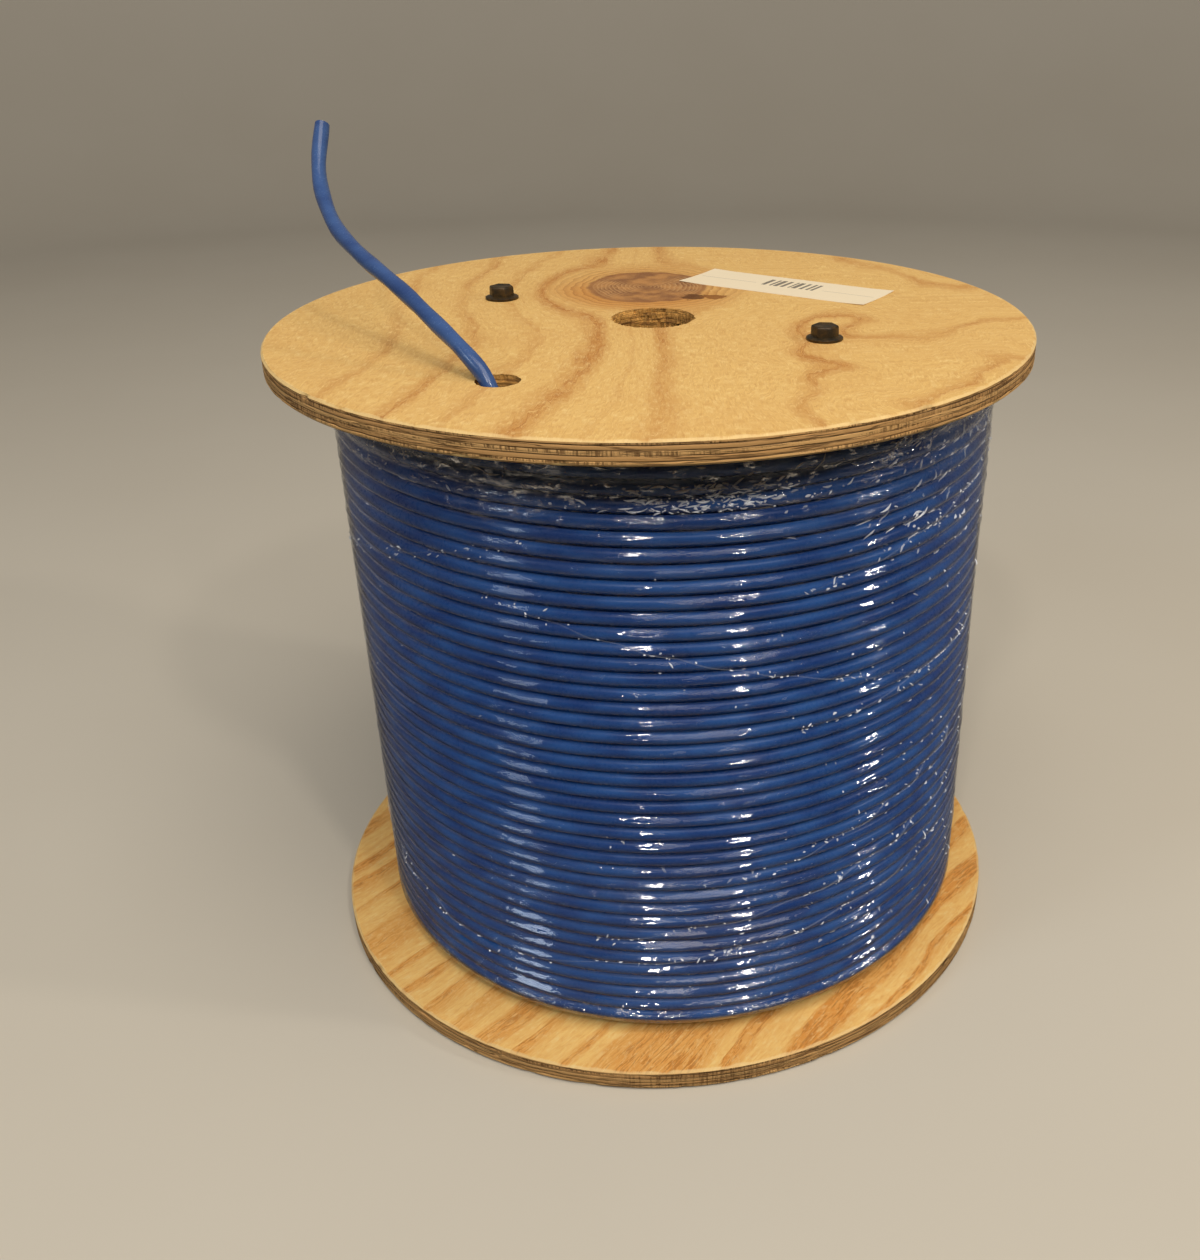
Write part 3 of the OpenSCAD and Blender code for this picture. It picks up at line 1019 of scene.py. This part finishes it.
# %% Lay one fold on the film
def on_film(bearing, z, out):
    x, y = film_r * math.sin(bearing), -film_r * math.cos(bearing)
    reach = film_r + (film_lift(x, y, z) + out) * MM
    return Vector((reach * math.sin(bearing) + off_axis, -reach * math.cos(bearing), z + wander(x, y, z)))


# A fold's whiteness sets how opaque and white it is: partly milky bunched film, partly a painted glint.
def lay_fold(bm, bearing, z, length, width, lean, bend, whiteness_and_glint, cuts=6):
    laid = bmesh.ops.create_grid(bm, x_segments=cuts, y_segments=2, size=0.5)["verts"]
    for v in laid:
        along, across = v.co.x, v.co.y
        taper = 1 - 3.6 * along * along
        side = across * width * taper + bend * length * (along * along - 0.08)
        to_right = along * length * math.cos(lean) - side * math.sin(lean)
        to_top = along * length * math.sin(lean) + side * math.cos(lean)
        crest = 0.15 + 0.5 * (1 - 2 * abs(across)) * taper
        v.co = on_film(bearing + to_right * MM / film_r, z + to_top * MM, crest)
    for f in {f for v in laid for f in v.link_faces}:
        f[fold_white_glint] = whiteness_and_glint


bm = bmesh.new()
fold_white_glint = bm.faces.layers.float.new("fold_white_glint")
dice = random.Random(7)


def strew(count, aim, heights, lengths, leans, whites_and_glints):
    for number in range(count):
        bearing = dice.gauss(*aim) if aim else dice.uniform(-math.pi, math.pi)
        z = dice.uniform(*heights) * MM
        length = lengths[0] + (lengths[1] - lengths[0]) * dice.random() ** 2.5
        lay_fold(bm, bearing, z, length, dice.uniform(0.45, 0.85), dice.gauss(*leans),
                 dice.uniform(-0.5, 0.5), dice.uniform(*whites_and_glints))


brim = film_high.z / MM
strew(210, (0.08, 0.15), (brim - 23, brim - 13), (0.8, 5.5), (0.0, 0.32), (0.35, 1.0))
strew(380, None, (brim - 22, brim - 4), (0.8, 7.0), (0.0, 0.45), (0.15, 0.85))
strew(90, (0.80, 0.22), (brim - 50, brim - 6), (1.5, 8.0), (0.45, 0.3), (0.2, 0.9))
strew(130, (0.90, 0.30), (24, 215), (0.7, 3.0), (0.35, 0.4), (0.2, 1.0))
strew(150, None, (24, 225), (0.7, 3.0), (0.1, 0.5), (0.1, 0.8))
print("loose folds:", len(bm.faces), "faces")

# %% Row the puckers along the edges of the wraps
WRAP_EDGES = ((-0.55, 202, -37), (0.35, 146, 12), (-0.25, 56, 22), (0.3, 200, 26), (0.15, 82, 30),
              (-0.5, 40, 16), (1.6, 190, 30), (1.9, 120, -36), (2.9, 205, -28), (3.4, 110, 32),
              (4.2, 70, -22), (4.4, 170, 34))
WRAP_SWING, PUCKERS = 1.5, 60
for begin, height, slope in WRAP_EDGES:
    lean = math.atan2(slope, film_r / MM)
    half = WRAP_SWING / 2
    length = WRAP_SWING * film_r / MM
    lay_fold(bm, begin + half, (height + slope * half) * MM, length, 0.45, lean, 0.02, 0.09, 120)
    for number in range(PUCKERS):
        swing = dice.uniform(0.0, WRAP_SWING)
        z = (height + slope * swing + dice.gauss(0, 1.3)) * MM
        lay_fold(bm, begin + swing, z, 0.7 + 1.7 * dice.random() ** 2, dice.uniform(0.45, 0.75),
                 dice.gauss(lean, 0.5), dice.uniform(-0.4, 0.4), dice.uniform(0.3, 1.0))
bmesh.ops.recalc_face_normals(bm, faces=bm.faces)
folds_piece = make_piece("film_folds", bm, 60)

# The folds are painted a bluish white and let through by their whiteness: partly the milky look of bunched
# film, partly painted glints where clear film mirrors the lamps; the slight blue offsets the warm bounce
# light.
fold_glint_finish, place = new_finish("folded_film_glints")
milky = grain(place, (0.5, 0.5, 0.5), 3.0)
paint(colour=blend(milky, tone(232, 238, 250), tone(250, 252, 255)), rough=ease(milky, 0.3, 0.7, 0.12, 0.3))
let_through(add("Attribute", {}, out=2, attribute_name="fold_white_glint"))
dress(folds_piece, [fold_glint_finish])

# %% [markdown]
# Film is clear where it faces you and shiny where it is seen edge on or lies in many folds.
# A Mix Shader lets most light straight through, and only the mirrored share meets the skin's own
# shader, so that one is set up as a mirror. The share follows the Fresnel law, plus a haze and folds
# where the film lies double, and fine creases in the bump break the image of a lamp into glints.
# Clear film takes almost no light away, so it casts no shadow on the turns.

# %% Mix the film finish
film_finish, place = new_finish("clear_film")
x, y, height = [axis_of(place, axis) for axis in (0, 1, 2)]
folds = grain(place, (0.16, 0.16, 0.5), 4.0, 0.65)
patches = grain(place, (0.02, 0.02, 0.05), 3.0, 0.6)
hem_z = first_z / MM
ends = larger(ease(height, brim - 34, brim - 10), ease(height, hem_z - 1, hem_z + 9, 0.5, 0.0))
wrinkle = less(grain(place, (0.07, 0.07, 0.13), 3.0, 0.6), 0.5)
crinkle = ease(size_of(wrinkle), 0.0, 0.05, 1.0, 0.0)
crinkle = times(crinkle, ease(folds, 0.48, 0.60))
bearing = calc("ARCTAN2", x, times(y, -1.0))
bunch = ease(size_of(plus(bearing, 0.43)), 0.10, 0.24, 0.34, 0.03)
double = times(ease(folds, 0.45, 0.75), bunch)
double = times(ends, times_plus(crinkle, 0.45, double))
hem = ease(height, hem_z - 1.2, hem_z + 0.6, 0.30, 0.0)
aside = size_of(bearing)
loose = times(ease(aside, 0.6, 1.2), ease(aside, 2.0, 3.0, 1.0, 0.3))
loose = times(loose, ease(bearing, -0.5, 0.5, 0.035, 0.065))
haze = plus(ease(height, 20.0, 130.0, 0.045, 0.0), loose)
haze = plus(haze, ease(patches, 0.5, 0.75, 0.0, 0.02))
veil = plus(larger(double, hem), haze)
fresnel = add("Fresnel", {"IOR": 1.5})
share = calc("MINIMUM", plus(fresnel, less(veil, 0.018)), 0.6)
paint(colour=blend(folds, tone(208, 206, 206), tone(238, 236, 236)), metal=1.0)
torn = times(ends, crinkle)
rough = times_plus(torn, 0.24, ease(patches, 0.4, 0.7, 0.05, 0.11))
paint(rough=rough)
creases = grain(place, (0.07, 0.07, 0.20), 3.0, 0.5)
crumple = times(ends, grain(place, (0.22, 0.22, 0.45), 3.0, 0.55))
creases = times_plus(creases, 0.4, crumple)
scratch = times(crinkle, larger(ease(patches, 0.48, 0.62, 0.0, 0.3), ends))
creases = times_plus(scratch, 0.45, creases)
raise_bump(creases, 0.0010, 0.9)
let_through(share)
dress(sleeve, [film_finish], ["stretch_film"])
sleeve.visible_shadow = False
folds_piece.visible_shadow = False
print("film mixed")

# %% [markdown]
# ## The tie bolts
# Two hexagon bolts with a built-in washer pull the flanges onto the tube. They are dark from the
# phosphate and oil that keeps rust off. The washer and the shank are spun, and the head is a
# six-sided cone with its rims bevelled, because a forged head has no sharp edges.

# %% Forge the bolts
def forge_bolt(name, spot, low, high):
    bm = bmesh.new()
    seat = top_z
    shank = 3.175 * MM
    outline = [(0, low), (shank - 0.5 * MM, low), (shank, low + 0.6 * MM), (shank, seat), (6.9 * MM, seat),
               (7.1 * MM, seat + 0.3 * MM), (7.1 * MM, seat + 0.9 * MM), (6.8 * MM, seat + 1.1 * MM),
               (4.6 * MM, seat + 2.0 * MM), (0, seat + 2.0 * MM)]
    points = [bm.verts.new((r, 0, z)) for r, z in outline]
    chain = [bm.edges.new((a, b)) for a, b in zip(points, points[1:])]
    bmesh.ops.spin(bm, geom=points + chain, axis=(0, 0, 1), cent=(0, 0, 0), angle=math.tau, steps=48,
                   use_merge=True)
    bmesh.ops.remove_doubles(bm, verts=bm.verts, dist=0.00002)
    old = set(bm.verts)
    rise = high - seat - 1.0 * MM
    stand = Matrix.Translation((0, 0, seat + 1.0 * MM + rise / 2)) @ Matrix.Rotation(0.35, 4, "Z")
    bmesh.ops.create_cone(bm, cap_ends=True, segments=6, radius1=5.5 * MM, radius2=5.35 * MM, depth=rise,
                          matrix=stand)
    head = [v for v in bm.verts if v not in old]
    upper = [e for e in bm.edges if e.verts[0] in head and min(v.co.z for v in e.verts) > high - 0.1 * MM]
    bmesh.ops.bevel(bm, geom=upper, offset=0.75 * MM, segments=3, profile=0.5, affect="EDGES", material=-1)
    corners = [e for e in bm.edges if e.verts[0] not in old and e.is_manifold and len(e.link_faces) == 2
               and abs((e.verts[0].co - e.verts[1].co).normalized().z) > 0.8 and e.calc_face_angle() > 0.5]
    bmesh.ops.bevel(bm, geom=corners, offset=0.35 * MM, segments=2, profile=0.5, affect="EDGES", material=-1)
    crown = max(bm.faces, key=lambda f: f.calc_center_median().z)
    bmesh.ops.inset_individual(bm, faces=[crown], thickness=0.9 * MM, depth=0.0)
    bmesh.ops.translate(bm, verts=crown.verts, vec=(0, 0, -0.35 * MM))
    bmesh.ops.recalc_face_normals(bm, faces=bm.faces)
    bmesh.ops.translate(bm, verts=bm.verts, vec=(spot[0], spot[1], 0))
    return make_piece(name, bm, 35)


dark_oil, place = new_finish("dark_oil")
stain = grain(place, (0.35, 0.35, 0.35), 4.0, 0.65)
grit = grain(place, (2.2, 2.2, 2.2), 3.0, 0.6)
coat = blend(ease(stain, 0.35, 0.7), tone(36, 28, 12), tone(80, 58, 22))
paint(colour=coat, rough=ease(grit, 0.3, 0.7, 0.34, 0.52), metal=0.35)
raise_bump(grit, 0.00012, 0.6)
for number, (spot, (low, high)) in enumerate(zip(bolt_spots, bolt_boxes), 1):
    bolt = forge_bolt(f"hex_bolt_{number}", spot, low.z, high.z)
    dress(bolt, [dark_oil], [f"tie_bolt_{number}"])

# %% [markdown]
# ## The label
# A strip of white paper is stuck to the upper flange. Its print is left generic: ruled lines and a
# field of plain bars, drawn on the strip's own UV map so that they follow it when it is turned.
# A grid with a little thickness is enough, and its corners lift as old paper does.

# %% Cut and lay the label
label_low, label_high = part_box("label")
label_w, label_h, label_turn = 93 * MM, 31 * MM, math.radians(-34.8)
bm = bmesh.new()
print_map = bm.loops.layers.uv.new("print_map")
bmesh.ops.create_grid(bm, x_segments=24, y_segments=8, size=0.5)
for f in bm.faces:
    for corner in f.loops:
        corner[print_map].uv = (corner.vert.co.x + 0.5, corner.vert.co.y + 0.5)
for v in bm.verts:
    far = max(0.0, abs(v.co.x) - 0.38) * max(0.0, abs(v.co.y) - 0.2)
    v.co.z = 9 * far * MM + 0.04 * MM * noise.noise(Vector((v.co.x * 7, v.co.y * 3, 0)))
bmesh.ops.scale(bm, verts=bm.verts, vec=(label_w, label_h, 1))
bmesh.ops.solidify(bm, geom=bm.faces, thickness=0.12 * MM)
bmesh.ops.recalc_face_normals(bm, faces=bm.faces)
bmesh.ops.rotate(bm, verts=bm.verts, cent=(0, 0, 0), matrix=Matrix.Rotation(label_turn, 3, "Z"))
middle = (label_low + label_high) / 2
bmesh.ops.translate(bm, verts=bm.verts, vec=(middle.x, middle.y, 0))
drop = min(v.co.z for v in bm.verts)
bmesh.ops.translate(bm, verts=bm.verts, vec=(0, 0, label_low.z - drop))
strip = make_piece("paper_label", bm, 60)

# %% Print plain bars and rules
label_paper, place = new_finish("label_paper")
uv = add("UVMap", {}, uv_map="print_map")
u, v = [axis_of(uv, axis) for axis in (0, 1)]


def window(value, low, high):
    return calc("LESS_THAN", size_of(less(value, (low + high) / 2)), (high - low) / 2)


beat = calc("FRACT", times(u, 30.0))
uneven = times_plus(calc("FRACT", times(u, 11.3)), 0.55, 0.2)
bars = times(calc("GREATER_THAN", beat, uneven), window(u, 0.37, 0.66))
bars = times(bars, window(v, 0.44, 0.80))
rules = times(window(u, 0.03, 0.34), window(v, 0.50, 0.515))
rules = larger(rules, times(window(u, 0.70, 0.97), window(v, 0.5, 0.515)))
ink = times(larger(bars, times(rules, 0.5)), 0.8)
pulp = grain(place, (0.8, 0.8, 0.8), 4.0, 0.6)
sheet_tone = blend(pulp, tone(246, 228, 194), tone(252, 235, 204))
paint(colour=blend(ink, sheet_tone, tone(70, 66, 64)), rough=0.55, gloss=0.3)
raise_bump(pulp, 0.00005, 0.5)
dress(strip, [label_paper], ["label"])
print("label laid at", round(middle.x / MM, 1), round(middle.y / MM, 1))
